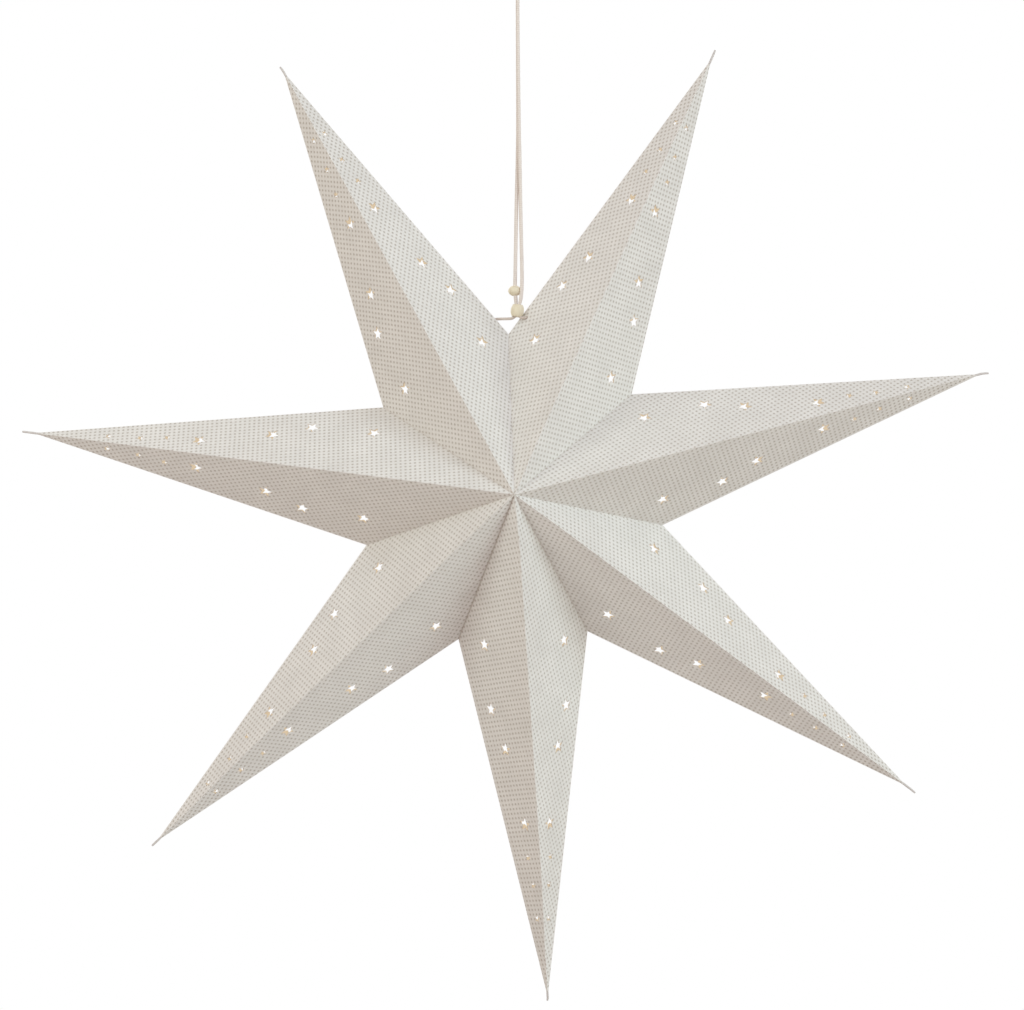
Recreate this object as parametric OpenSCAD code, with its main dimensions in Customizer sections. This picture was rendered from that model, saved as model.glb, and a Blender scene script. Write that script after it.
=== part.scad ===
// Hanging paper star with seven folded points, held on a cotton cord by two
// wooden beads. Every point is one sheet of thin printed card, pierced with
// small five-pointed cut-outs, and closed at its tip into a pinched tail.
// The origin is under the top of the cord's loop, where it hangs. Z is up
// and the front looks towards minus Y.

/* [Star] */
// Distance from the middle of the star to the tip of a point
reach = 300; // [260:5:340]
// Distance from the middle to the valley between two points
valley_reach = 96; // [85:1:108]
// Distance from the middle plane to the front or back apex
half_depth = 69; // [55:1:85]
// Thickness of the card
card_t = 0.4; // [0.3:0.05:0.7]
// Width of the glued strips along the valley folds
glue_w = 8; // [6:0.5:12]
// Length of solid glued layers behind each tip
tip_solid = 9; // [8:0.5:14]
// Width and thickness of the pinched tail at a tip
tail_w = 1.2; // [0.9:0.1:1.8]
// How unevenly the opened points stand, 0 is a perfect star
unevenness = 1; // [0:0.1:1]

/* [Cut-outs] */
// Radius of the four large stars on a face
large_r = 4.5; // [3:0.1:5.5]
// Radius of the three small stars on a face
small_r = 2.4; // [1.8:0.1:2.8]
// Radius of a star's inner corners as a share of its outer radius
notch = 0.45; // [0.35:0.01:0.6]

/* [Cord and beads] */
// Diameter of the braided cord
cord_d = 2.3; // [2:0.1:2.4]
// Diameter of the tightened cord in and below the closing bead
string_d = 1.7; // [1.5:0.1:1.7]
// Diameter of the two cord holes in the card
hole_d = 2.6; // [2.4:0.1:3]
// Diameter of the upper bead
cord_bead_d = 8; // [7:0.1:8.4]
// Height of the upper bead
cord_bead_h = 6.2; // [5:0.1:7]
// Diameter of the closing bead
closing_bead_d = 8.2; // [7.6:0.1:8.4]
// Height of the closing bead
closing_bead_h = 7.6; // [7:0.1:7.8]

/* [Hidden] */
n_points = 7;
step_a = 360 / n_points;
// The whole star has turned a little on its cord, clockwise from upright
star_turn = -3.3;
// Small differences of the opened points from an even star: reach in mm
// and turn in degrees, clockwise from the upper left point
tip_out = [-4, -6, -4, 0, 9, 6, -2];
tip_turn = [0.4, 1.9, 1.6, 1.3, -0.5, -2.2, -2.2];
valley_out = [3, -1, -3, -1, -1, 0, 1];
valley_turn = [1.2, 1.2, 1.9, 0.8, -1.2, -2.5, -1.5];
tail_len = [4, 6, 5, 7, 2.5, 4, 7];
tail_turn = [-12, -2, 17, 4, 16, 2, -1];
// Each cut-out: place along the outer fold from the tip, place inwards
// across the face, both as shares, and 1 for a large star
cuts = [
  [0.977, 0.37, 1],
  [0.80, 0.275, 1],
  [0.687, 0.41, 1],
  [0.477, 0.60, 1],
  [0.386, 0.54, 0],
  [0.309, 0.60, 0],
  [0.217, 0.59, 0]
];
// The valley under the beads stays in its place on the cord
tie = [-5.6, 0, -236.1];
front = [0, -half_depth, 0];
back = [0, half_depth, 0];
// Places of the cord holes: along the fold from that valley, and in from it
hole_along = [13, 14.5];
hole_in = [4.1, 4.7];
string_r = string_d / 2;
cord_r = cord_d / 2;
// Two strands side by side fill the bore of the closing bead
bore_r = string_d + 0.02;
closing_at = [-0.2, -2.15, -221.9];
closing_lean = 6;
cord_bead_at = [-1.8, 0.9, -209.4];

function unit(v) = v / norm(v);
function at(r, a) = [r * sin(a), 0, r * cos(a)];
function wrap(k) = (k + n_points) % n_points;
function tip_angle(k) = (k - 0.5) * step_a + star_turn + unevenness * tip_turn[k];
function tip(k) = at(reach + unevenness * tip_out[k], tip_angle(k));
function valley_angle(k) = k * step_a + star_turn + unevenness * valley_turn[k];
function valley(k) = at(valley_reach + unevenness * valley_out[k], valley_angle(k));
mid = tie - valley(0);

// A face from its tip, valley and apex: [along fold, across, outward, angle at tip]
function face(t, v, f) =
  let (e = unit(v - t), d = f - t, g = d - (d * e) * e)
  [e, unit(g), cross(e, unit(g)), atan2(norm(g), d * e)];
function frame_at(f, p) = [
  [f[0][0], f[1][0], f[2][0], p[0]],
  [f[0][1], f[1][1], f[2][1], p[1]],
  [f[0][2], f[1][2], f[2][2], p[2]],
  [0, 0, 0, 1]
];
// Slope of a face away from the middle plane
function slope(t, v) = acos(abs(face(t, v, front)[2][1]));

// Closed body of one point: tip, two valleys, front and back apex
module spindle(t, v1, v2, f, b) {
  polyhedron(
    points = [t, v1, v2, f, b],
    faces = [[0, 3, 1], [0, 2, 3], [0, 1, 4], [0, 4, 2], [3, 4, 1], [3, 2, 4]]
  );
}

module in_plan(depth) {
  rotate([90, 0, 0]) linear_extrude(height = depth, center = true) children();
}

function plan(p) = [p[0], p[2]];

// Inside of one point: faces set in by the card, sides set in from the seams
module hollow(k) {
  t = tip(k);
  v1 = valley(wrap(k - 1));
  v2 = valley(k);
  d1 = unit(v1);
  d2 = unit(v2);
  f1 = face(t, v1, front);
  f2 = face(t, v2, front);
  // Each outer fold line moves inwards by the card over the sine of the slope
  in1 = card_t / sin(slope(t, v1));
  in2 = card_t / sin(slope(t, v2));
  w1 = [-(v1 - t)[2], 0, (v1 - t)[0]] / norm(v1 - t);
  w2 = [(v2 - t)[2], 0, -(v2 - t)[0]] / norm(v2 - t);
  e1 = f1[0];
  e2 = f2[0];
  den = e1[0] * e2[2] - e1[2] * e2[0];
  r = in2 * w2 - in1 * w1;
  s = (r[0] * e2[2] - r[2] * e2[0]) / den;
  t_in = t + in1 * w1 + s * e1;
  side = (reach + unevenness * tip_out[k] - tip_solid) / cos(angle_between(d1, d2) / 2);
  o_in = (d1 + d2) * card_t / sin(angle_between(d1, d2));
  intersection() {
    spindle(
      t_in, t_in + 1.2 * (v1 - t), t_in + 1.2 * (v2 - t),
      t_in + 1.2 * (front - t), t_in + 1.2 * (back - t)
    );
    in_plan(3 * half_depth)
      polygon([plan(o_in), plan(o_in + side * d1), plan(o_in + side * d2)]);
  }
}

function angle_between(a, b) = acos((a * b) / (norm(a) * norm(b)));

// The open middle of a seam, which leaves only its two glued strips
module seam_window(v, side) {
  rv = norm(v);
  left = 1 - glue_w * sqrt(1 / (rv * rv) + 1 / (half_depth * half_depth));
  d = unit(v);
  n = [d[2], 0, -d[0]];
  multmatrix([
    [d[0], 0, -n[0], 0],
    [0, 1, 0, 0],
    [d[2], 0, -n[2], 0],
    [0, 0, 0, 1]
  ])
    translate([0, 0, -side * card_t * 0.75])
      linear_extrude(height = card_t * 2.5, center = true)
        polygon([
          [left * rv, 0], [0, left * half_depth], [-3, left * half_depth],
          [-3, -left * half_depth], [0, -left * half_depth]
        ]);
}

module star_2d(r) {
  polygon([for (i = [0:9]) r * (i % 2 == 0 ? 1 : notch) * [cos(36 * i), sin(36 * i)]]);
}

module cut_outs(t, v, f) {
  s = face(t, v, f);
  edge = norm(v - t);
  for (c = cuts)
    multmatrix(frame_at(s, t + c[0] * edge * s[0] + c[0] * c[1] * edge * tan(s[3]) * s[1]))
      rotate([0, 0, s[3]])
        linear_extrude(height = 6 * card_t, center = true)
          star_2d(c[2] == 1 ? large_r : small_r);
}

// Pinched end of the layers, slightly bent
module tail(k) {
  t = plan(tip(k));
  a = tip_angle(k);
  b = a + tail_turn[k];
  u = [sin(a), cos(a)];
  w = [cos(a), -sin(a)];
  m = [sin((a + b) / 2), cos((a + b) / 2)];
  q = [sin(b), cos(b)];
  qw = [cos(b), -sin(b)];
  h = tail_w / 2;
  middle = t + tail_len[k] * 0.5 * m;
  end = middle + tail_len[k] * 0.5 * q;
  in_plan(tail_w)
    polygon([
      t - 5 * u - h * w, t - h * w, middle - 0.9 * h * qw, end - 0.7 * h * qw,
      end + 0.7 * h * qw, middle + 0.9 * h * qw, t + h * w, t - 5 * u + h * w
    ]);
}

// A cord hole in a face beside the valley above the middle: in the back face
// of the upper left point, in the front face of the upper right one
module cord_hole(k) {
  v = valley(0);
  s = face(tip(k), v, k == 0 ? back : front);
  p = v - hole_along[k] * s[0] + hole_in[k] * s[1];
  multmatrix(frame_at(s, p))
    cylinder(h = 6 * card_t, r = hole_d / 2, center = true, $fn = 48);
}

module point(k) {
  t = tip(k);
  v1 = valley(wrap(k - 1));
  v2 = valley(k);
  color([0.88, 0.86, 0.83])
    translate(mid)
      union() {
        difference() {
          spindle(t, v1, v2, front, back);
          hollow(k);
          seam_window(v1, 1);
          seam_window(v2, -1);
          for (f = [front, back]) {
            cut_outs(t, v1, f);
            cut_outs(t, v2, f);
          }
          if (k < 2) cord_hole(k);
        }
        tail(k);
      }
}

module point_upper_left() { point(0); }
module point_upper_right() { point(1); }
module point_right() { point(2); }
module point_lower_right() { point(3); }
module point_bottom() { point(4); }
module point_lower_left() { point(5); }
module point_left() { point(6); }

// The cord's centre line, from its knot in the upper left point through the
// closing bead, the upper bead and the loop to its knot in the upper right
// one: x, y, z in mm and the radius there
bend_r = 4.6;
knot_r = 2.1;
route = [
  [-19.4, -0.8, -230.8, string_r],
  [-18.6, 0.1, -230.1, 1.2],
  [-17.95, 0.9, -229.55, 2],
  [-17.2, 1.85, -228.9, knot_r],
  [-16.55, 2.6, -228.35, 1.6],
  [-16.25, 3, -228.1, string_r],
  [-15.4, 3.8, -227.4, string_r],
  [-14, 4.4, -226.75, string_r],
  [-12, 3.9, -226.5, string_r],
  [-9.2, 2.3, -226.55, string_r],
  [-6.3, 0.5, -226.65, string_r],
  [-3.9, -0.8, -226.6, string_r],
  [-2.4, -1.2, -226, string_r],
  [-1.3, -1.25, -224.9, string_r],
  [-0.75, -1.25, -223.5, string_r],
  [-0.65, -1.4, -221.9, string_r],
  [-0.8, -1.75, -219.8, string_r],
  [-0.95, -1.65, -218, string_r + 0.1],
  [-1.1, -0.9, -215.3, cord_r],
  [-1.4, 0.2, -212, cord_r],
  [-1.6, 0.7, -209.5, cord_r],
  [-1.6, 0.8, -206.5, cord_r],
  [-1.5, 0.6, -200, cord_r],
  [-1.2, 0.5, -184, cord_r],
  [-0.75, 0.5, -157, cord_r],
  [-0.2, 0.9, -134, cord_r],
  [0.2, 1.2, -110, cord_r],
  [0.1, 1.2, -70, cord_r],
  [0, 1.3, -36, cord_r],
  [0, 2, -25, cord_r],
  [0, 3.3, -14, cord_r],
  for (a = [-15:30:195]) [0, bend_r * cos(a), cord_r - bend_r + bend_r * sin(a), cord_r],
  [0, -3.3, -14, cord_r],
  [0, -2, -25, cord_r],
  [0, -1.3, -36, cord_r],
  [0.3, -1.2, -70, cord_r],
  [0.9, -1.2, -110, cord_r],
  [1.4, -1, -134, cord_r],
  [1.8, -0.6, -157, cord_r],
  [2.4, -0.6, -184, cord_r],
  [2.7, -1.3, -200, cord_r],
  [2.5, -2, -209.5, cord_r],
  [1.8, -2.4, -215.3, cord_r],
  [1.1, -2.55, -218, string_r + 0.1],
  [0.75, -2.7, -219.8, string_r],
  [0.35, -2.95, -221.9, string_r],
  [0.2, -3.1, -223.5, string_r],
  [0.75, -3.35, -224.95, string_r],
  [1.8, -3.8, -226, string_r],
  [3.1, -4.25, -226.45, string_r],
  [4.4, -4.3, -226.4, string_r],
  [5.6, -3.5, -226.4, string_r],
  [6, -3.05, -226.65, 1.6],
  [6.65, -2.25, -227.1, knot_r],
  [7.45, -1.35, -227.7, 2],
  [8.15, -0.55, -228.25, 1.2],
  [9, 0.35, -228.85, string_r]
];

// A tube of rings along the route, each ring turned as little as it can be
last = len(route) - 1;
function place(i) = [route[i][0], route[i][1], route[i][2]];
function heading(i) = unit(place(min(i + 1, last)) - place(max(i - 1, 0)));
function carried(u, t) = unit(u - (u * t) * t);
sides = [
  for (i = 0, u = carried([0, 1, 0], heading(0));
       i <= last;
       i = i + 1, u = i <= last ? carried(u, heading(i)) : u)
    u
];
tube_n = 8;

module hanging_cord() {
  pts = [
    for (i = [0:last])
      let (u = sides[i], w = cross(heading(i), u))
        for (j = [0:tube_n - 1])
          place(i) + route[i][3] * (cos(j * 360 / tube_n) * u + sin(j * 360 / tube_n) * w)
  ];
  color([0.85, 0.8, 0.75])
    polyhedron(
      points = pts,
      faces = concat(
        [[for (j = [0:tube_n - 1]) j]],
        [[for (j = [0:tube_n - 1]) (last + 1) * tube_n - 1 - j]],
        [
          for (i = [0:last - 1])
            for (j = [0:tube_n - 1])
              [
                i * tube_n + (j + 1) % tube_n, i * tube_n + j,
                (i + 1) * tube_n + j, (i + 1) * tube_n + (j + 1) % tube_n
              ]
        ]
      )
    );
}

// Turned bead about Z: a rounded outline around a bore that opens at both ends
module bead(d, h, bore, mouth) {
  a = d / 2;
  full = h / 2 / sqrt(1 - pow(mouth / a, 2));
  a0 = acos(mouth / a);
  rotate_extrude($fn = 64)
    polygon(concat(
      [[bore, -h / 2 + 1.6 * (mouth - bore)], [bore, h / 2 - 1.6 * (mouth - bore)]],
      [for (i = [0:12]) let (w = a0 - i * a0 / 6) [a * cos(w), full * sin(w)]]
    ));
}

module cord_bead() {
  color([0.9, 0.82, 0.64])
    translate(cord_bead_at)
      bead(cord_bead_d, cord_bead_h, cord_r - 0.05, cord_r + 0.25);
}

module closing_bead() {
  color([0.9, 0.82, 0.64])
    translate(closing_at)
      rotate([0, closing_lean, 0])
        bead(closing_bead_d, closing_bead_h, bore_r, bore_r + 1.2);
}

point_upper_left();
point_upper_right();
point_right();
point_lower_right();
point_bottom();
point_lower_left();
point_left();
hanging_cord();
cord_bead();
closing_bead();
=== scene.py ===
import math

import bmesh
import bpy
import numpy as np
from mathutils.geometry import delaunay_2d_cdt
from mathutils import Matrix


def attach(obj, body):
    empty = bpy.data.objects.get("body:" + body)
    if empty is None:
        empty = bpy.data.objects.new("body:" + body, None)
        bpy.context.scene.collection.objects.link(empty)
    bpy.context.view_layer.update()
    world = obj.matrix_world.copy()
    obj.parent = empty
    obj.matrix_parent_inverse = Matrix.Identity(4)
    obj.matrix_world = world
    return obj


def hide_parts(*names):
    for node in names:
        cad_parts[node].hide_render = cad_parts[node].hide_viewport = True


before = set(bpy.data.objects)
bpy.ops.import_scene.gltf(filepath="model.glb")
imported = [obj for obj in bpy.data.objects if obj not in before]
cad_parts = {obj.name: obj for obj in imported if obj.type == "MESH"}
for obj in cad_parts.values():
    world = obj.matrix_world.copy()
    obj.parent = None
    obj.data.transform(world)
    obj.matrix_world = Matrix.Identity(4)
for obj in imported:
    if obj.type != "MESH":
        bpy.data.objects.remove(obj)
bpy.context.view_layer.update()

# The camera stands level in front of the star, a little below the middle of its
# two upper points, as far off as the widening of the nearer faces asks for.
camera_data = bpy.data.cameras.new("camera")
camera_data.lens = 83.55
camera_data.sensor_width = 36.0
camera_data.clip_end = 30.0
camera = bpy.data.objects.new("camera", camera_data)
camera.location = (-0.00346, -1.461, -0.34115)
camera.rotation_euler = (math.radians(90.0), 0.0, 0.0)
bpy.context.scene.collection.objects.link(camera)
bpy.context.scene.camera = camera


# Hanging cord: one braided cotton cord. It is knotted inside the upper left point,
# comes out through a hole in its back face, runs through both beads and the loop,
# and goes back through a hole in the front face of the upper right point.
CORD_R = 0.00115
STRING_R = 0.00085
KNOT_R = 0.0021
BEND_R = 0.0046


def loop_arc(start, end, step):
    """Half circle over the hook, in the Y-Z plane: y is the bend's radius times the
    cosine of the angle, z the same times its sine, above the bend's middle."""
    a = np.radians(np.arange(start, end + step / 2, step))
    z0 = CORD_R - BEND_R
    return np.stack(
        [0 * a, BEND_R * np.cos(a), z0 + BEND_R * np.sin(a), 0 * a + CORD_R], axis=1
    )


# x, y, z and radius in metres, along the cord from knot to knot
cord_start = [
    (-0.0194, -0.0008, -0.2308, STRING_R),
    (-0.0186, 0.0001, -0.2301, 0.0012),
    (-0.01795, 0.0009, -0.22955, 0.0020),
    (-0.0172, 0.00185, -0.2289, KNOT_R),
    (-0.01655, 0.0026, -0.22835, 0.0016),
    (-0.01625, 0.0030, -0.2281, STRING_R),
    (-0.0154, 0.0038, -0.2274, STRING_R),
    (-0.0140, 0.0044, -0.22675, STRING_R),
    (-0.0120, 0.0039, -0.2265, STRING_R),
    (-0.0092, 0.0023, -0.22655, STRING_R),
    (-0.0063, 0.0005, -0.22665, STRING_R),
    (-0.0039, -0.0008, -0.2266, STRING_R),
    (-0.0024, -0.0012, -0.2260, STRING_R),
    (-0.0013, -0.00125, -0.2249, STRING_R),
    (-0.00075, -0.00125, -0.2235, STRING_R),
    (-0.00065, -0.0014, -0.2219, STRING_R),
    (-0.0008, -0.00175, -0.2198, STRING_R),
    (-0.00095, -0.00165, -0.2180, 0.00095),
    (-0.0011, -0.0009, -0.2153, CORD_R),
    (-0.0014, 0.0002, -0.2120, CORD_R),
    (-0.0016, 0.0007, -0.2095, CORD_R),
    (-0.0016, 0.0008, -0.2065, CORD_R),
    (-0.0015, 0.0006, -0.2000, CORD_R),
    (-0.0012, 0.0005, -0.1840, CORD_R),
    (-0.00075, 0.0005, -0.1570, CORD_R),
    (-0.0002, 0.0009, -0.1340, CORD_R),
    (0.0002, 0.0012, -0.1100, CORD_R),
    (0.0001, 0.0012, -0.0700, CORD_R),
    (0.0, 0.0013, -0.0360, CORD_R),
    (0.0, 0.0020, -0.0250, CORD_R),
    (0.0, 0.0033, -0.0140, CORD_R),
]
cord_end = [
    (0.0, -0.0033, -0.0140, CORD_R),
    (0.0, -0.0020, -0.0250, CORD_R),
    (0.0, -0.0013, -0.0360, CORD_R),
    (0.0003, -0.0012, -0.0700, CORD_R),
    (0.0009, -0.0012, -0.1100, CORD_R),
    (0.0014, -0.0010, -0.1340, CORD_R),
    (0.0018, -0.0006, -0.1570, CORD_R),
    (0.0024, -0.0006, -0.1840, CORD_R),
    (0.0027, -0.0013, -0.2000, CORD_R),
    (0.0025, -0.0020, -0.2095, CORD_R),
    (0.0018, -0.0024, -0.2153, CORD_R),
    (0.0011, -0.00255, -0.2180, 0.00095),
    (0.00075, -0.0027, -0.2198, STRING_R),
    (0.00035, -0.00295, -0.2219, STRING_R),
    (0.0002, -0.0031, -0.2235, STRING_R),
    (0.00075, -0.00335, -0.22495, STRING_R),
    (0.0018, -0.0038, -0.2260, STRING_R),
    (0.0031, -0.00425, -0.22645, STRING_R),
    (0.0044, -0.0043, -0.2264, STRING_R),
    (0.0056, -0.0035, -0.2264, STRING_R),
    (0.0060, -0.00305, -0.22665, 0.0016),
    (0.00665, -0.00225, -0.2271, KNOT_R),
    (0.00745, -0.00135, -0.2277, 0.0020),
    (0.00815, -0.00055, -0.22825, 0.0012),
    (0.0090, 0.00035, -0.22885, STRING_R),
]
# First angle, last angle and step of the loop's bend, in degrees
LOOP_ANGLES = (-15, 195, 30)
cord_route = np.vstack([cord_start, loop_arc(*LOOP_ANGLES), cord_end])
CURVE_STEPS = 24
RING_SPACING = 0.0005


def smooth_route(route, spacing):
    """Catmull-Rom curve through the route's points, then cut at equal lengths: between
    two points it is the cubic that leaves each along the line joining its neighbours."""
    p = np.vstack([route[0], route, route[-1]])
    t = np.linspace(0.0, 1.0, CURVE_STEPS, endpoint=False)[None, :, None]
    a, b, c, d = p[:-3, None], p[1:-2, None], p[2:-1, None], p[3:, None]
    curve = 0.5 * (
        2 * b + (c - a) * t + (2 * a - 5 * b + 4 * c - d) * t**2 + (3 * b - a - 3 * c + d) * t**3
    )
    curve = np.vstack([curve.reshape(-1, route.shape[1]), route[-1]])
    run = np.concatenate([[0.0], np.cumsum(np.linalg.norm(np.diff(curve[:, :3], axis=0), axis=1))])
    at = np.linspace(0.0, run[-1], int(run[-1] / spacing) + 1)
    return np.stack([np.interp(at, run, column) for column in curve.T], axis=1), at


def carried_frames(centre):
    """Two sides at every ring, square to the tangent and to each other. The first starts
    along Y and is then carried from ring to ring, turned only as the tangent turns."""
    tangent = np.gradient(centre, axis=0)
    tangent /= np.linalg.norm(tangent, axis=1, keepdims=True)
    side = np.empty_like(tangent)
    carried = np.array([0.0, 1.0, 0.0])
    for i, direction in enumerate(tangent):
        carried = carried - direction * (carried @ direction)
        carried /= np.linalg.norm(carried)
        side[i] = carried
    return side, np.cross(tangent, side)


def grid_faces(rows, columns, closed):
    """Four-sided faces of a grid of points, wound so that they face outwards on a tube
    whose rings run anticlockwise about its heading; closed joins the last column on."""
    r = np.arange(rows - 1)[:, None]
    c = np.arange(columns if closed else columns - 1)[None, :]
    n = (c + 1) % columns
    return np.stack(
        [r * columns + c, r * columns + n, (r + 1) * columns + n, (r + 1) * columns + c], axis=-1
    ).reshape(-1, 4)


def new_piece(name, points, faces, materials, smooth=True, uvs=None):
    """A mesh object from arrays: points, lists of faces, and any UV maps by name, each
    with one pair per corner in the order of the faces."""
    mesh = bpy.data.meshes.new(name)
    mesh.from_pydata(np.asarray(points).tolist(), [], [list(map(int, f)) for f in faces])
    for map_name, pairs in (uvs or {}).items():
        layer = mesh.uv_layers.new(name=map_name)
        layer.data.foreach_set("uv", np.asarray(pairs, dtype=np.float32).ravel())
    mesh.polygons.foreach_set("use_smooth", [smooth] * len(mesh.polygons))
    for material in materials:
        mesh.materials.append(material)
    mesh.update()
    piece = bpy.data.objects.new(name, mesh)
    bpy.context.scene.collection.objects.link(piece)
    return piece


def new_material(name, base, roughness):
    """Principled material with its nodes, links, shader and place on the object."""
    material = bpy.data.materials.new(name)
    material.use_nodes = True
    nodes, links = material.node_tree.nodes, material.node_tree.links
    shader = nodes["Principled BSDF"]
    shader.inputs["Base Color"].default_value = (*base, 1.0)
    shader.inputs["Roughness"].default_value = roughness
    place = nodes.new("ShaderNodeTexCoord").outputs["Object"]
    return material, nodes, links, shader, place


def maths(nodes, links, operation, *values, clamp=False):
    """One Math node, fed by sockets or plain numbers, and its result."""
    node = nodes.new("ShaderNodeMath")
    node.operation = operation
    node.use_clamp = clamp
    for i, value in enumerate(values):
        if isinstance(value, (int, float)):
            node.inputs[i].default_value = value
        else:
            links.new(value, node.inputs[i])
    return node.outputs[0]


def mix_colour(nodes, links, factor, first, second):
    """One Mix node for colours, fed by sockets or plain colours."""
    node = nodes.new("ShaderNodeMix")
    node.data_type = "RGBA"
    sockets = (node.inputs[0], node.inputs[6], node.inputs[7])
    for socket, value in zip(sockets, (factor, first, second)):
        if isinstance(value, bpy.types.NodeSocket):
            links.new(value, socket)
        elif isinstance(value, (int, float)):
            socket.default_value = value
        else:
            socket.default_value = (*value, 1.0)
    return node.outputs[2]


def noise(nodes, links, vector, scale, detail=2.0):
    """Noise over a vector, as its factor."""
    node = nodes.new("ShaderNodeTexNoise")
    node.inputs["Scale"].default_value = scale
    node.inputs["Detail"].default_value = detail
    links.new(vector, node.inputs["Vector"])
    return node.outputs["Fac"]


def bump(nodes, links, shader, height, strength, distance):
    """Bump from a height into the shader's normal."""
    node = nodes.new("ShaderNodeBump")
    node.inputs["Strength"].default_value = strength
    node.inputs["Distance"].default_value = distance
    links.new(height, node.inputs["Height"])
    links.new(node.outputs[0], shader.inputs["Normal"])


# Two families of strands cross as they wind round the cord, one each way
CORD_SIDES = 24
STRANDS_EACH_WAY = 4
CROSSINGS_IN_PITCH = 2
BRAID_PITCH = 0.0052
BRAID_DEPTH = 0.00005
cord_rings, cord_run = smooth_route(cord_route, RING_SPACING)
cord_centre, cord_radius = cord_rings[:, :3], cord_rings[:, 3]
cord_side, cord_up = carried_frames(cord_centre)
cord_angle = np.linspace(0.0, 2 * np.pi, CORD_SIDES, endpoint=False)[None, :]
strand_angle = STRANDS_EACH_WAY * cord_angle
strand_run = CROSSINGS_IN_PITCH * 2 * np.pi * cord_run[:, None] / BRAID_PITCH
braid = np.cos(strand_angle + strand_run) * np.cos(strand_angle - strand_run)
ring_radius = cord_radius[:, None] + BRAID_DEPTH * braid
cord_points = (
    cord_centre[:, None]
    + (ring_radius * np.cos(cord_angle))[..., None] * cord_side[:, None]
    + (ring_radius * np.sin(cord_angle))[..., None] * cord_up[:, None]
).reshape(-1, 3)
cord_faces = grid_faces(len(cord_centre), CORD_SIDES, True).tolist()
cord_faces.append(list(range(CORD_SIDES))[::-1])
cord_faces.append(list(range(len(cord_points) - CORD_SIDES, len(cord_points))))
around = np.arange(CORD_SIDES) / CORD_SIDES
corner_u = np.stack([around, around + 1 / CORD_SIDES, around + 1 / CORD_SIDES, around], axis=1)
along = cord_run / BRAID_PITCH
corner_v = np.stack([along[:-1], along[:-1], along[1:], along[1:]], axis=1)
cord_uv = np.stack(
    [
        np.broadcast_to(corner_u[None], (len(along) - 1, CORD_SIDES, 4)),
        np.broadcast_to(corner_v[:, None], (len(along) - 1, CORD_SIDES, 4)),
    ],
    axis=-1,
).reshape(-1, 2)
cord_uv = np.vstack([cord_uv, np.zeros((2 * CORD_SIDES, 2))])

cotton, nodes, links, shader, place = new_material("braided_cotton", (0.88, 0.82, 0.77), 0.95)
shader.inputs["Sheen Weight"].default_value = 0.25
shader.inputs["Sheen Roughness"].default_value = 0.6
braid_uv = nodes.new("ShaderNodeUVMap")
braid_uv.uv_map = "braid"
split = nodes.new("ShaderNodeSeparateXYZ")
links.new(braid_uv.outputs[0], split.inputs[0])
winding = maths(nodes, links, "MULTIPLY", split.outputs[0], STRANDS_EACH_WAY * 2 * math.pi)
running = maths(nodes, links, "MULTIPLY", split.outputs[1], CROSSINGS_IN_PITCH * 2 * math.pi)
one_way = maths(nodes, links, "COSINE", maths(nodes, links, "ADD", winding, running))
other_way = maths(nodes, links, "COSINE", maths(nodes, links, "SUBTRACT", winding, running))
both_ways = maths(nodes, links, "MULTIPLY", one_way, other_way)
crossing = maths(nodes, links, "MULTIPLY_ADD", both_ways, 0.5, 0.5)
fibres = noise(nodes, links, place, 3800.0, 3.0)
cotton_colour = mix_colour(nodes, links, crossing, (0.70, 0.62, 0.57), (0.87, 0.81, 0.77))
fluff = maths(nodes, links, "MULTIPLY", fibres, 0.35)
fluffy = mix_colour(nodes, links, fluff, cotton_colour, (0.92, 0.87, 0.83))
# The thin ends by the holes are painted greyer, a painted shade for where they lie in shadow
# under the closing bead and behind the points' edges, the last most. Both places are counted
# in braid pitches from the start of the cord.
SHADED_UP_TO = 7.75
SHADED_FROM = 92.0
SHADE_FADE = 0.8
from_start = maths(
    nodes, links, "MULTIPLY_ADD", split.outputs[1], -SHADE_FADE, SHADE_FADE * SHADED_UP_TO, clamp=True
)
from_end = maths(
    nodes, links, "MULTIPLY_ADD", split.outputs[1], SHADE_FADE, -SHADE_FADE * SHADED_FROM, clamp=True
)
from_start = maths(nodes, links, "MULTIPLY", from_start, 0.4)
# Painted shade on both thin ends of the cord
shaded_ends = maths(nodes, links, "MULTIPLY", maths(nodes, links, "MAXIMUM", from_start, from_end), 0.75)
links.new(mix_colour(nodes, links, shaded_ends, fluffy, (0.56, 0.47, 0.41)), shader.inputs["Base Color"])
bump(nodes, links, shader, maths(nodes, links, "ADD", crossing, fibres), 0.5, 0.0001)

cord = new_piece("braided_cord", cord_points, cord_faces, [cotton], uvs={"braid": cord_uv})
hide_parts("hanging_cord")
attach(cord, "root")


# Two beads: turned from pale wood, drilled and left without varnish. The upper one
# slides on one strand, the closing bead on both, and it leans on the upper right
# point just above the valley that it holds shut.
BEAD_SIDES = 72


def bead_profile(width, height, bore, mouth, steps=28):
    """Outline of a bead from its lower mouth round the outside to the upper one and
    back through the bore: an ellipse cut off at the mouth, a rounded lip, and a
    straight bore. Returns radius and height."""
    a = width / 2
    full = height / 2 / math.sqrt(1 - (mouth / a) ** 2)
    reach = math.acos(mouth / a)
    w = np.linspace(-reach, reach, steps)
    outside = np.stack([a * np.cos(w), full * np.sin(w)], axis=1)
    depth = 1.6 * (mouth - bore)
    q = np.linspace(0.0, np.pi / 2, 7)[1:]
    lip = np.stack(
        [mouth - (mouth - bore) * np.sin(q), height / 2 - depth * (1 - np.cos(q))], axis=1
    )
    return np.vstack([outside, lip, lip[::-1] * [1, -1]])


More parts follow.
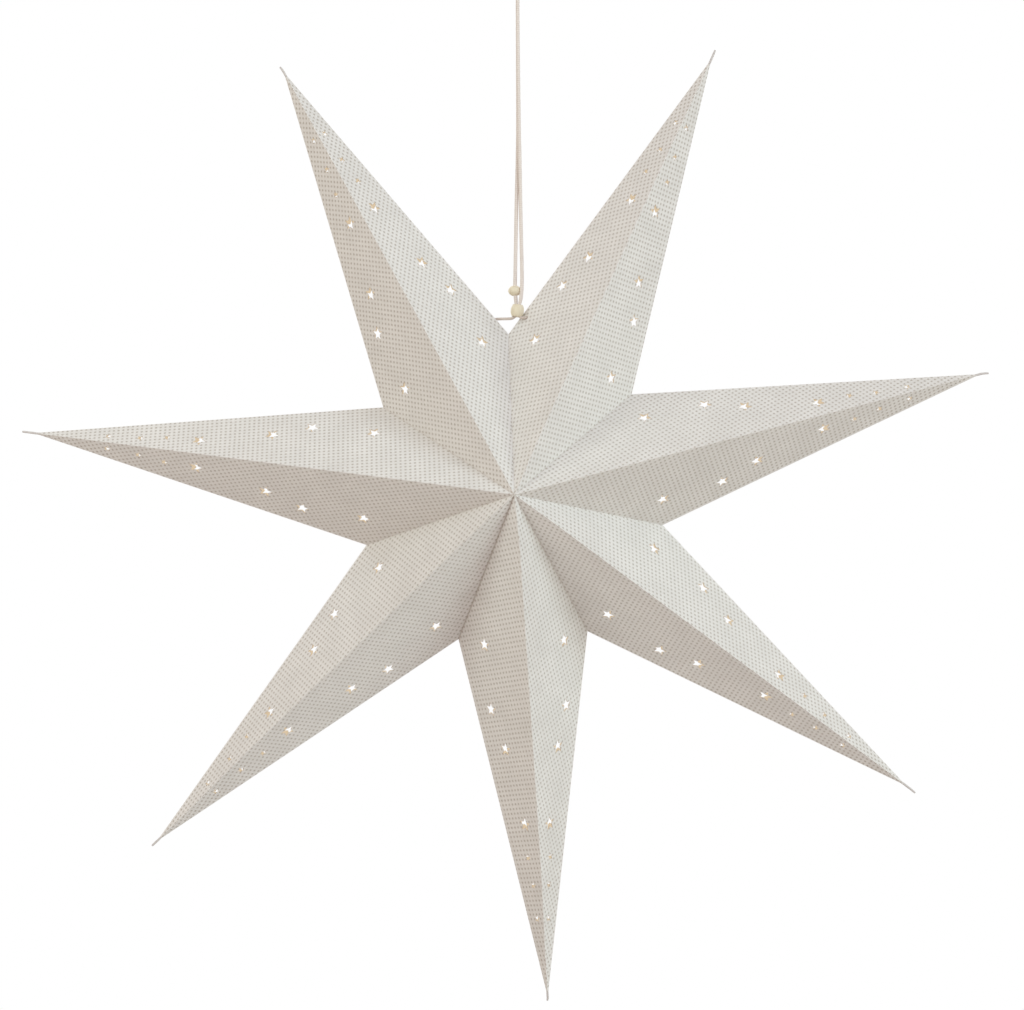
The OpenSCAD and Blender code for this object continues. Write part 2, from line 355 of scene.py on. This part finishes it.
def turned_piece(name, profile, place_at, lean, material):
    """A profile of radius and height turned about Z in equal steps, then leaned about
    Y and set in its place. The grid closes both ways."""
    turn = np.linspace(0.0, 2 * np.pi, BEAD_SIDES, endpoint=False)[None, :]
    r, z = profile[:, :1], profile[:, 1:] + 0 * turn
    x, y = r * np.cos(turn), r * np.sin(turn)
    c, s = math.cos(lean), math.sin(lean)
    points = np.stack([x * c + z * s, y, z * c - x * s], axis=-1) + np.array(place_at)
    rows = len(profile)
    faces = grid_faces(rows, BEAD_SIDES, True)
    first = np.arange(BEAD_SIDES)
    last = (rows - 1) * BEAD_SIDES + first
    joined = np.stack([last, np.roll(last, -1), np.roll(first, -1), first], axis=1)
    return new_piece(name, points.reshape(-1, 3), np.vstack([faces, joined]), [material])


wood, nodes, links, shader, place = new_material("turned_wood", (0.86, 0.77, 0.58), 0.55)
stretch = nodes.new("ShaderNodeMapping")
stretch.inputs["Scale"].default_value = (1.0, 1.0, 0.18)
links.new(place, stretch.inputs["Vector"])
growth = noise(nodes, links, stretch.outputs[0], 900.0, 3.0)
pores = noise(nodes, links, stretch.outputs[0], 5200.0, 2.0)
grain = mix_colour(nodes, links, growth, (0.74, 0.64, 0.45), (0.88, 0.82, 0.66))
pale = maths(nodes, links, "MULTIPLY", pores, 0.3)
links.new(mix_colour(nodes, links, pale, grain, (0.92, 0.88, 0.75)), shader.inputs["Base Color"])
bump(nodes, links, shader, pores, 0.25, 0.00008)

upper_bead = turned_piece(
    "upper_bead", bead_profile(0.008, 0.0062, 0.0011, 0.0014), (-0.0018, 0.0009, -0.2094), 0.0, wood
)
closing_bead = turned_piece(
    "lower_bead",
    bead_profile(0.0082, 0.0076, 0.00172, 0.00292),
    (-0.0002, -0.00215, -0.2219),
    math.radians(6),
    wood,
)
for bead, node in ((upper_bead, "cord_bead"), (closing_bead, "closing_bead")):
    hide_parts(node)
    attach(bead, "root")


# Seven points: each is one sheet of thin card, printed outside with small dots,
# pierced with stars, folded into a long hollow spike and glued at its tip. Its
# glue strips are turned in and lie on those of the next point.
REACH = 0.300
VALLEY_REACH = 0.096
HALF_DEPTH = 0.069
CARD = 0.0004
GLUE_W = 0.008
STAR_TURN = -3.3
TIE = np.array([-0.0056, 0.0, -0.2361])
POINT_NAMES = [
    "upper_left", "upper_right", "right", "lower_right", "bottom", "lower_left", "left",
]
TIP_OUT = np.array([-4, -6, -4, 0, 9, 6, -2]) / 1000
TIP_TURN = np.array([0.4, 1.9, 1.6, 1.3, -0.5, -2.2, -2.2])
VALLEY_OUT = np.array([3, -1, -3, -1, -1, 0, 1]) / 1000
VALLEY_TURN = np.array([1.2, 1.2, 1.9, 0.8, -1.2, -2.5, -1.5])
TAIL_LENGTH = np.array([4, 6, 5, 7, 2.5, 4, 7]) / 1000
TAIL_TURN = np.array([-12, -2, 17, 4, 16, 2, -1])
LARGE_R = 0.0047
SMALL_R = 0.0025
NOTCH = 0.45
# Place of each cut-out along the fold and across the face, and its radius
CUTS = [
    (0.972, 0.364, LARGE_R),
    (0.797, 0.267, LARGE_R),
    (0.685, 0.401, LARGE_R),
    (0.477, 0.589, LARGE_R),
    (0.386, 0.54, SMALL_R),
    (0.309, 0.60, SMALL_R),
    (0.217, 0.59, SMALL_R),
]
# The sheet was creased a little off, so the back's cut-outs sit nearer tip and fold
BACK_SHIFT = np.array([-0.0011, -0.0008])
# Cord holes: along the fold from the valley, in from it, and radius
CORD_HOLES = {(0, 1, 1): (0.013, 0.0041, 0.0013), (1, 0, -1): (0.0145, 0.0047, 0.0013)}
# How far each ridge bows sideways, clockwise, and how strongly shade is painted along each valley fold
RIDGE_BOW = np.array([0.1, -0.7, 0.1, -0.4, -1.0, 0.8, 0.15]) / 1000
VALLEY_SHADE = [0.10, 0.12, 0.04, 0.15, 0.48, 0.10, 0.15]
# Pitch of the dots, their radius in pitches, and how far each sheet's print is shifted
DOT_PITCH = 0.00288
DOT_RADIUS = 0.235
PRINT_SHIFT = 0.37
# The sheets of six points were cut square to the print, that of one was turned
PRINT_TURN = [33.9, 0, 0, 0, 0, 0, 0]
# Least and most that a face stands off its plane, and the seed of the first sheet
BULGE = (-0.0007, 0.0004)
SHEET_SEED = 40
# Distance to a fold, in mm, at which it no longer shows
FAR_FROM_FOLD = 9.0


def polar(distance, degrees):
    """Place in the middle plane at a distance and a turn, clockwise from up."""
    a = np.radians(degrees)
    return np.stack([distance * np.sin(a), 0 * a, distance * np.cos(a)], axis=-1)


step = np.arange(7)
tips = polar(REACH + TIP_OUT, (step - 0.5) * 360 / 7 + STAR_TURN + TIP_TURN)
valleys = polar(VALLEY_REACH + VALLEY_OUT, step * 360 / 7 + STAR_TURN + VALLEY_TURN)
star_middle = TIE - valleys[0]
apexes = {-1: np.array([0.0, -HALF_DEPTH, 0.0]), 1: np.array([0.0, HALF_DEPTH, 0.0])}


def face_frame(tip, valley, apex):
    """Axes of one triangular face: along its outer fold from the tip, across it
    towards the ridge, outwards, and the apex in the first two."""
    e = (valley - tip) / np.linalg.norm(valley - tip)
    d = apex - tip
    g = d - e * (d @ e)
    g /= np.linalg.norm(g)
    out = np.cross(e, g)
    if out[1] * apex[1] < 0:
        out = -out
    return e, g, out, np.array([d @ e, d @ g])


def star_outline(middle, radius, turn):
    """Ten corners of a five-pointed star, outer and inner in turn."""
    a = turn + np.arange(10) * np.pi / 5
    r = np.where(np.arange(10) % 2 == 0, radius, radius * NOTCH)
    return middle + np.stack([r * np.cos(a), r * np.sin(a)], axis=1)


def inside_star(p, middle, radius, turn):
    """True where a point lies in the star: folded into a tenth of a turn, it lies on
    the inner side of the line from an outer corner to the next inner one."""
    d = p - middle
    a = np.abs((np.arctan2(d[:, 1], d[:, 0]) - turn + np.pi / 5) % (2 * np.pi / 5) - np.pi / 5)
    r = np.linalg.norm(d, axis=1)
    x, y = r * np.cos(a), r * np.sin(a)
    nx, ny = radius * NOTCH * math.cos(math.pi / 5), radius * NOTCH * math.sin(math.pi / 5)
    return (nx - radius) * y - ny * (x - radius) > 0


# Points along a long edge of a face, along its valley fold and round a cord hole, the
# card left free round a cut-out, and how far a rim is bowed while a face is cut up
EDGE_STEPS = 44
VALLEY_STEPS = 20
HOLE_SIDES = 20
CLEAR_OF_CUT = 0.0008
RIM_BOW = 0.0004


def cut_face(edge, apex, hole, shift):
    """One flat face as triangles with its cut-outs left open. The tip is at 0, the
    valley at (edge, 0). Returns the points in the face's axes and the triangles."""
    corners = np.array([[0.0, 0.0], [edge, 0.0], apex])
    gamma = math.atan2(apex[1], apex[0])
    sides = [
        (EDGE_STEPS, corners[0], corners[1]),
        (VALLEY_STEPS, corners[1], corners[2]),
        (EDGE_STEPS, corners[2], corners[0]),
    ]
    rim = np.vstack([np.linspace(a, b, count, endpoint=False) for count, a, b in sides])
    stars = [(np.array([s * edge, s * edge * math.tan(gamma) * w]) + shift, r) for s, w, r in CUTS]
    outlines = [star_outline(middle, r, gamma) for middle, r in stars]
    if hole is not None:
        round_middle = np.array([edge - hole[0], hole[1]])
        a = np.linspace(0, 2 * np.pi, HOLE_SIDES, endpoint=False)
        outlines.append(round_middle + hole[2] * np.stack([np.cos(a), np.sin(a)], axis=1))
    i, j = np.meshgrid(np.arange(1, EDGE_STEPS), np.arange(1, EDGE_STEPS), indexing="ij")
    keep = i + j < EDGE_STEPS
    share = np.stack([i[keep], j[keep]], axis=1) / EDGE_STEPS
    inner = share[:, :1] * corners[1] + share[:, 1:] * corners[2]
    clear = np.ones(len(inner), bool)
    for middle, r in stars:
        clear &= np.linalg.norm(inner - middle, axis=1) > r + CLEAR_OF_CUT
    if hole is not None:
        clear &= np.linalg.norm(inner - round_middle, axis=1) > hole[2] + CLEAR_OF_CUT
    loops = [rim] + outlines
    points = np.vstack(loops + [inner[clear]])
    edges, start = [], 0
    for loop in loops:
        ids = start + np.arange(len(loop))
        edges += np.stack([ids, np.roll(ids, -1)], axis=1).tolist()
        start += len(loop)
    # The rim is bowed out a little while it is cut up, so that no sliver lies along it
    bowed, start = points.copy(), 0
    for count, a, b in sides:
        share = np.linspace(0.0, 1.0, count, endpoint=False)[:, None]
        way = b - a
        outwards = np.array([way[1], -way[0]]) / np.linalg.norm(way)
        bowed[start:start + count] += 4 * share * (1 - share) * outwards * RIM_BOW
        start += count
    _, _, triangles, source, *_ = delaunay_2d_cdt(bowed.tolist(), edges, [], 1, 1e-9)
    found = points[[ids[0] for ids in source]]
    triangles = np.array([t for t in triangles if len(t) == 3])
    centre = found[triangles].mean(axis=1)
    open_here = np.zeros(len(triangles), bool)
    for middle, r in stars:
        open_here |= inside_star(centre, middle, r, gamma)
    if hole is not None:
        open_here |= np.linalg.norm(centre - round_middle, axis=1) < hole[2] * 0.98
    return found, triangles[~open_here]


def bulge(p, edge, apex, amount):
    """How far the card stands off its flat face: nothing at the three edges, most in
    the middle of the wide end, from the product of the distances to the edges."""
    b2 = p[:, 1] / apex[1]
    b1 = (p[:, 0] - b2 * apex[0]) / edge
    b0 = 1 - b1 - b2
    return amount * 27 * np.clip(b0, 0, 1) * np.clip(b1, 0, 1) * np.clip(b2, 0, 1)


def ridge_bow(p, edge, apex, amount):
    """How far the card is pushed sideways by its bowed ridge: the whole bow along most
    of the ridge, eased to nothing at tip and apex, and falling evenly to the valley."""
    b2 = p[:, 1] / apex[1]
    b0 = 1 - b2 - (p[:, 0] - b2 * apex[0]) / edge
    ridge = np.clip(b0 + b2, 0, 1)
    t = np.clip(b2 / np.maximum(ridge, 1e-9), 0, 1)
    ease = np.clip(np.minimum(t / 0.3, (1 - t) / 0.12), 0, 1)
    return amount * ridge * ease**2 * (3 - 2 * ease)


STRIP_ROWS = 21
STRIP_COLUMNS = 3


def glue_strip(valley, apex, out):
    """Strip along a valley fold, turned in to the seam: a grid between the fold and a
    line set in from it by the strip's width. Returns points and faces."""
    rv = np.linalg.norm(valley)
    left = 1 - GLUE_W * math.sqrt(1 / rv**2 + 1 / HALF_DEPTH**2)
    along_fold = np.linspace(0.0, 1.0, STRIP_ROWS)[:, None, None]
    across = np.linspace(0.0, 1.0, STRIP_COLUMNS)[None, :, None]
    fold_line = valley * (1 - along_fold) + apex * along_fold
    points = (fold_line * (1 - across) + fold_line * left * across).reshape(-1, 3)
    faces = grid_faces(STRIP_ROWS, STRIP_COLUMNS, False)
    a, b, c = points[faces[0, 0]], points[faces[0, 1]], points[faces[0, 2]]
    if np.cross(b - a, c - a) @ out < 0:
        faces = faces[:, ::-1]
    return points, faces


def print_place(flat, gamma, side, depth, k):
    """Place on the print of points of a face, in dot pitches. The sheet is opened flat
    about its tip: a point keeps its distance from the tip, and its angle is counted from
    the fold between the two clockwise faces. The sheet's own turn is then added."""
    rho, phi = np.linalg.norm(flat, axis=1), np.arctan2(flat[:, 1], flat[:, 0])
    opened = {(1, -1): phi, (1, 1): -phi, (-1, -1): 2 * gamma - phi, (-1, 1): 2 * gamma + phi}
    a = opened[(side, depth)] + math.radians(PRINT_TURN[k])
    return np.stack([rho * np.cos(a), rho * np.sin(a)], axis=1) / DOT_PITCH + PRINT_SHIFT * k


def fold_distances(flat, gamma, valley_corner, apex):
    """Distances in mm of points of a face from its outer fold and its ridge, side by
    side, and from its valley fold: each is the offset across that line."""
    ridge = np.sin(gamma) * flat[:, 0] - np.cos(gamma) * flat[:, 1]
    v = valley_corner - apex
    v /= np.linalg.norm(v)
    seam = np.abs((flat[:, 0] - apex[0]) * v[1] - (flat[:, 1] - apex[1]) * v[0])
    return 1000 * np.stack([flat[:, 1], ridge], axis=1), 1000 * seam


def folded_point(k):
    """All faces of one point as one sheet. Gives points, faces and, for each corner, its
    place on the print, its distances to outer fold and ridge in mm, and its distance to
    the valley fold with the strength of that fold's painted shade, which is -1 on a glue strip."""
    axis = tips[k] / np.linalg.norm(tips[k])
    clockwise = np.array([axis[2], 0.0, -axis[0]])
    rng = np.random.default_rng(SHEET_SEED + k)
    all_points, all_faces, sheet, folds, seams = [], [], [], [], []
    count = 0
    for side, valley in ((-1, valleys[k - 1]), (1, valleys[k])):
        for depth in (-1, 1):
            apex = apexes[depth]
            e, g, out, apex_2d = face_frame(tips[k], valley, apex)
            edge = np.linalg.norm(valley - tips[k])
            hole = CORD_HOLES.get((k, 1 if side == 1 else 0, depth))
            flat, triangles = cut_face(edge, apex_2d, hole, BACK_SHIFT * (depth == 1))
            lift = bulge(flat, edge, apex_2d, rng.uniform(*BULGE))
            points = tips[k] + flat[:, :1] * e + flat[:, 1:] * g + lift[:, None] * out
            points += ridge_bow(flat, edge, apex_2d, RIDGE_BOW[k])[:, None] * clockwise
            a, b, c = points[triangles[0]]
            if np.cross(b - a, c - a) @ out < 0:
                triangles = triangles[:, ::-1]
            gamma = math.atan2(apex_2d[1], apex_2d[0])
            on_sheet = print_place(flat, gamma, side, depth, k)
            to_folds, to_seam = fold_distances(flat, gamma, np.array([edge, 0.0]), apex_2d)
            dark = VALLEY_SHADE[k if side == 1 else k - 1]
            at_seam = np.stack([to_seam, 0 * to_seam + dark], axis=1)
            all_points.append(points)
            all_faces += (triangles + count).tolist()
            sheet.append(on_sheet[triangles].reshape(-1, 2))
            folds.append(to_folds[triangles].reshape(-1, 2))
            seams.append(at_seam[triangles].reshape(-1, 2))
            count += len(points)
            seam_out = np.cross(np.array([0.0, 1.0, 0.0]), valley / np.linalg.norm(valley))
            seam_out *= -np.sign(seam_out @ axis)
            points, faces = glue_strip(valley, apex, seam_out)
            all_points.append(points)
            all_faces += (faces + count).tolist()
            sheet.append(np.zeros((faces.size, 2)))
            folds.append(np.full((faces.size, 2), FAR_FROM_FOLD))
            seams.append(np.tile([FAR_FROM_FOLD, -1.0], (faces.size, 1)))
            count += len(points)
    points = np.vstack(all_points)
    _, first, merged = np.unique(
        np.round(points, 6), axis=0, return_index=True, return_inverse=True
    )
    faces = [[int(merged[i]) for i in f] for f in all_faces]
    return points[first], faces, np.vstack(sheet), np.vstack(folds), np.vstack(seams)


# How far a tail starts inside its tip, half its width there, at the tip, near its end
# and at its end, its rings and their sides, and the waves that the glue press left, in
# radians a metre
TAIL_INSIDE = 0.006
TAIL_HALF_WIDTH = [0.0006, 0.0007, 0.0006, 0.0005]
TAIL_RINGS = 15
TAIL_SIDES = 12
PRESS_WAVES = 5200


def pinched_tail(k):
    """Closed tail of pressed layers: flat oval rings from inside the tip to its end,
    along a line that turns a little. Returns points and faces."""
    start = math.radians((k - 0.5) * 360 / 7 + STAR_TURN + TIP_TURN[k])
    s = np.linspace(-TAIL_INSIDE, TAIL_LENGTH[k], TAIL_RINGS)
    share = np.clip(s / TAIL_LENGTH[k], 0, 1)
    heading = start + math.radians(TAIL_TURN[k]) * share
    step_length = np.diff(s, prepend=s[0])
    line = np.stack([np.sin(heading), 0 * s, np.cos(heading)], axis=1)
    centre = tips[k] - TAIL_INSIDE * line[0] + np.cumsum(step_length[:, None] * line, axis=0)
    wide = np.stack([np.cos(heading), 0 * s, -np.sin(heading)], axis=1)
    width_at = [-TAIL_INSIDE, 0, TAIL_LENGTH[k] * 0.9, TAIL_LENGTH[k]]
    half_width = np.interp(s, width_at, TAIL_HALF_WIDTH)
    turn = np.linspace(0, 2 * np.pi, TAIL_SIDES, endpoint=False)[None, :, None]
    crimp = 1 + 0.10 * np.sin(s * PRESS_WAVES + k)[:, None, None]
    points = centre[:, None] + half_width[:, None, None] * (
        np.cos(turn) * wide[:, None] + 0.9 * crimp * np.sin(turn) * np.array([0.0, 1.0, 0.0])
    )
    faces = grid_faces(TAIL_RINGS, TAIL_SIDES, True).tolist()
    faces.append(list(range(TAIL_SIDES))[::-1])
    faces.append(list(range((TAIL_RINGS - 1) * TAIL_SIDES, TAIL_RINGS * TAIL_SIDES)))
    return points.reshape(-1, 3), faces


def dots_group():
    """Node group: a square print of round dots, one to each unit of the map. A dot is
    1 inside its radius and 0 outside, with a soft rim that noise makes ragged. Halo
    falls off evenly from the dot's middle, where a little ink has bled."""
    group = bpy.data.node_groups.new("dot_print", "ShaderNodeTree")
    inputs = {"Sheet": "NodeSocketVector", "Place": "NodeSocketVector", "Radius": "NodeSocketFloat"}
    for name, kind in inputs.items():
        group.interface.new_socket(name, in_out="INPUT", socket_type=kind)
    for name in ("Dot", "Halo", "Fade"):
        group.interface.new_socket(name, in_out="OUTPUT", socket_type="NodeSocketFloat")
    n, l = group.nodes, group.links
    source, result = n.new("NodeGroupInput"), n.new("NodeGroupOutput")
    apart = n.new("ShaderNodeSeparateXYZ")
    l.new(source.outputs["Sheet"], apart.inputs[0])
    x = maths(n, l, "SUBTRACT", maths(n, l, "FRACT", apart.outputs[0]), 0.5)
    y = maths(n, l, "SUBTRACT", maths(n, l, "FRACT", apart.outputs[1]), 0.5)
    square = maths(n, l, "ADD", maths(n, l, "MULTIPLY", x, x), maths(n, l, "MULTIPLY", y, y))
    distance = maths(n, l, "SQRT", square)
    ragged = maths(n, l, "MULTIPLY_ADD", noise(n, l, source.outputs["Place"], 2600.0, 1.0), 0.12, -0.06)
    past = maths(n, l, "SUBTRACT", maths(n, l, "ADD", distance, ragged), source.outputs["Radius"])
    l.new(maths(n, l, "MULTIPLY_ADD", past, -8.0, 0.5, clamp=True), result.inputs["Dot"])
    l.new(maths(n, l, "MULTIPLY_ADD", distance, -1.6, 1.0, clamp=True), result.inputs["Halo"])
    l.new(noise(n, l, source.outputs["Place"], 220.0, 2.0), result.inputs["Fade"])
    return group


dot_print = dots_group()
printed, nodes, links, shader, place = new_material("printed_card", (0.78, 0.765, 0.745), 0.9)
shader.inputs["Specular IOR Level"].default_value = 0.3
sheet_map = nodes.new("ShaderNodeUVMap")
sheet_map.uv_map = "sheet"
fold_map = nodes.new("ShaderNodeUVMap")
fold_map.uv_map = "folds"
seam_map = nodes.new("ShaderNodeUVMap")
seam_map.uv_map = "seams"
dots = nodes.new("ShaderNodeGroup")
dots.node_tree = dot_print
dots.inputs["Radius"].default_value = DOT_RADIUS
links.new(sheet_map.outputs[0], dots.inputs["Sheet"])
links.new(place, dots.inputs["Place"])
fold_at, seam_at = nodes.new("ShaderNodeSeparateXYZ"), nodes.new("ShaderNodeSeparateXYZ")
links.new(fold_map.outputs[0], fold_at.inputs[0])
links.new(seam_map.outputs[0], seam_at.inputs[0])
cloudy = maths(
    nodes, links, "ADD",
    maths(nodes, links, "MULTIPLY", noise(nodes, links, place, 60.0, 3.0), 0.45),
    maths(nodes, links, "MULTIPLY", noise(nodes, links, place, 700.0, 2.0), 0.55),
)
cloudy = maths(nodes, links, "MULTIPLY_ADD", cloudy, 1.7, -0.35, clamp=True)
paper_tone = mix_colour(nodes, links, cloudy, (0.73, 0.72, 0.70), (0.92, 0.91, 0.89))
ink = mix_colour(nodes, links, dots.outputs["Fade"], (0.46, 0.43, 0.39), (0.64, 0.605, 0.565))
unglued = maths(nodes, links, "GREATER_THAN", seam_at.outputs[1], -0.5)
dot_mask = maths(nodes, links, "MULTIPLY", dots.outputs["Dot"], unglued)
halo_mask = maths(nodes, links, "MULTIPLY", dots.outputs["Halo"], unglued)
halo_mask = maths(nodes, links, "MULTIPLY", halo_mask, 0.22)
with_halo = mix_colour(nodes, links, halo_mask, paper_tone, (0.45, 0.41, 0.37))
with_dots = mix_colour(nodes, links, dot_mask, with_halo, ink)
nearest_fold = maths(nodes, links, "MINIMUM", fold_at.outputs[0], fold_at.outputs[1])
worn = maths(nodes, links, "MULTIPLY_ADD", nearest_fold, -2.2, 1.0, clamp=True)
worn = maths(nodes, links, "MULTIPLY", worn, 0.7)
with_wear = mix_colour(nodes, links, worn, with_dots, (0.83, 0.815, 0.795))
# Painted shade: each valley between two points is darkened along its fold, by that valley's own strength
valley_shade = maths(nodes, links, "MULTIPLY_ADD", seam_at.outputs[0], -0.9, 1.0, clamp=True)
valley_shade = maths(nodes, links, "MULTIPLY", valley_shade, seam_at.outputs[1])
links.new(mix_colour(nodes, links, valley_shade, with_wear, (0.36, 0.30, 0.24)), shader.inputs["Base Color"])
fibre = maths(
    nodes, links, "ADD", noise(nodes, links, place, 1800.0, 4.0),
    maths(nodes, links, "MULTIPLY", dot_mask, -0.25),
)
bump(nodes, links, shader, fibre, 0.25, 0.0001)

# The inside of the card has a faint painted glow, standing in for the light that comes through the thin
# card
inner_card, nodes, links, shader, place = new_material("inner_card", (0.80, 0.76, 0.69), 0.95)
shader.inputs["Emission Color"].default_value = (0.78, 0.68, 0.54, 1.0)
shader.inputs["Emission Strength"].default_value = 0.24
uneven = noise(nodes, links, place, 140.0, 4.0)
links.new(
    mix_colour(nodes, links, uneven, (0.76, 0.71, 0.63), (0.83, 0.79, 0.72)), shader.inputs["Base Color"]
)
bump(nodes, links, shader, noise(nodes, links, place, 1800.0, 4.0), 0.3, 0.0001)

card_edge, nodes, links, shader, place = new_material("card_edge", (0.80, 0.77, 0.71), 0.95)
frayed = noise(nodes, links, place, 900.0, 3.0)
links.new(
    mix_colour(nodes, links, frayed, (0.72, 0.67, 0.59), (0.84, 0.80, 0.75)), shader.inputs["Base Color"]
)

pressed_tail, nodes, links, shader, place = new_material("pressed_tail", (0.70, 0.67, 0.66), 0.9)
crimped = noise(nodes, links, place, 900.0, 3.0)
links.new(
    mix_colour(nodes, links, crimped, (0.50, 0.46, 0.45), (0.78, 0.76, 0.75)), shader.inputs["Base Color"]
)
bump(nodes, links, shader, crimped, 0.5, 0.0003)

# Angle above which two faces of a sheet meet in a crisp fold
CRISP_FOLD = math.radians(25)

for k, name in enumerate(POINT_NAMES):
    points, faces, sheet, folds, seams = folded_point(k)
    sheet_piece = new_piece(
        "sheet_" + name,
        points + star_middle,
        faces,
        [printed, inner_card, card_edge, pressed_tail],
        uvs={"sheet": sheet, "folds": folds, "seams": seams},
    )
    thickness = sheet_piece.modifiers.new("card", "SOLIDIFY")
    thickness.thickness = CARD
    thickness.offset = -1.0
    thickness.material_offset = 1
    thickness.material_offset_rim = 2
    thick = bpy.data.meshes.new_from_object(
        sheet_piece.evaluated_get(bpy.context.evaluated_depsgraph_get())
    )
    bpy.data.objects.remove(sheet_piece)
    tail_points, tail_faces = pinched_tail(k)
    joined = bmesh.new()
    joined.from_mesh(thick)
    tail = [joined.verts.new(p) for p in (tail_points + star_middle).tolist()]
    for f in tail_faces:
        joined.faces.new([tail[i] for i in f]).material_index = 3
    joined.to_mesh(thick)
    joined.free()
    thick.polygons.foreach_set("use_smooth", [True] * len(thick.polygons))
    thick.set_sharp_from_angle(angle=CRISP_FOLD)
    thick.name = "card_" + name
    card = bpy.data.objects.new("card_" + name, thick)
    bpy.context.scene.collection.objects.link(card)
    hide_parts("point_" + name)
    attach(card, "root")


# Studio: soft lamps at the upper right and the right, two nearer ones at the left, two
# behind, and a pale floor well below the star that fades out at its rim.
STAR_PLACE = (0.0, 0.0, -0.33)


def soft_lamp(name, at, size, power, colour):
    """Square area lamp at a place, facing the star."""
    data = bpy.data.lights.new(name, "AREA")
    data.shape = "SQUARE"
    data.size = size
    data.energy = power
    data.color = colour
    lamp = bpy.data.objects.new(name, data)
    lamp.location = at
    way = np.array(STAR_PLACE) - np.array(at)
    yaw = math.atan2(way[0], -way[1])
    pitch = math.atan2(-way[2], math.hypot(way[0], way[1]))
    lamp.rotation_euler = (math.radians(90) - pitch, 0.0, yaw + math.pi)
    bpy.context.scene.collection.objects.link(lamp)


soft_lamp("key_lamp", (1.5, -1.7, 1.2), 1.2, 23.5, (0.72, 0.88, 1.0))
soft_lamp("right_lamp", (1.9, -1.2, -0.3), 1.2, 14.9, (0.82, 1.0, 0.93))
soft_lamp("upper_left_lamp", (-0.9, -0.9, 0.35), 0.8, 5.0, (0.86, 1.0, 0.95))
soft_lamp("left_lamp", (-1.2, -1.0, -0.25), 0.8, 3.8, (0.94, 1.0, 0.91))
soft_lamp("back_lamp", (-1.5, 1.7, 1.2), 1.2, 20.0, (0.78, 0.90, 1.0))
soft_lamp("back_side_lamp", (1.7, 1.5, 0.1), 1.2, 12.0, (0.84, 1.0, 0.94))

world = bpy.data.worlds.new("studio")
bpy.context.scene.world = world
world.use_nodes = True
nodes, links = world.node_tree.nodes, world.node_tree.links
around_light = nodes["Background"]
around_light.inputs["Color"].default_value = (1.0, 0.74, 0.64, 1.0)
around_light.inputs["Strength"].default_value = 0.41
white = nodes.new("ShaderNodeBackground")
white.inputs["Color"].default_value = (1.0, 1.0, 1.0, 1.0)
white.inputs["Strength"].default_value = 1.0
ray = nodes.new("ShaderNodeLightPath")
seen = maths(nodes, links, "MAXIMUM", ray.outputs["Is Camera Ray"], ray.outputs["Is Glossy Ray"])
seen = maths(nodes, links, "MAXIMUM", seen, ray.outputs["Is Transmission Ray"])
choose = nodes.new("ShaderNodeMixShader")
links.new(seen, choose.inputs[0])
links.new(around_light.outputs[0], choose.inputs[1])
links.new(white.outputs[0], choose.inputs[2])
links.new(choose.outputs[0], nodes["World Output"].inputs["Surface"])

FLOOR_Z = -1.3
FLOOR_R = 1.3
FLOOR_FADE = 1.6
FLOOR_SIDES = 96
floor_material, nodes, links, shader, place = new_material("pale_floor", (0.80, 0.80, 0.80), 0.8)
flat = nodes.new("ShaderNodeVectorMath")
flat.operation = "MULTIPLY"
flat.inputs[1].default_value = (1.0, 1.0, 0.0)
links.new(place, flat.inputs[0])
out_from_middle = nodes.new("ShaderNodeVectorMath")
out_from_middle.operation = "LENGTH"
links.new(flat.outputs[0], out_from_middle.inputs[0])
far_out = out_from_middle.outputs["Value"]
fade = maths(nodes, links, "MULTIPLY_ADD", far_out, -FLOOR_FADE, FLOOR_FADE * FLOOR_R, clamp=True)
links.new(fade, shader.inputs["Alpha"])
floor_angle = np.linspace(0, 2 * np.pi, FLOOR_SIDES, endpoint=False)
floor_rim = np.stack(
    [FLOOR_R * np.cos(floor_angle), FLOOR_R * np.sin(floor_angle), 0 * floor_angle + FLOOR_Z], axis=1
)
floor = new_piece("floor", floor_rim, [list(range(FLOOR_SIDES))], [floor_material], smooth=False)

bpy.context.scene.view_settings.view_transform = "Standard"
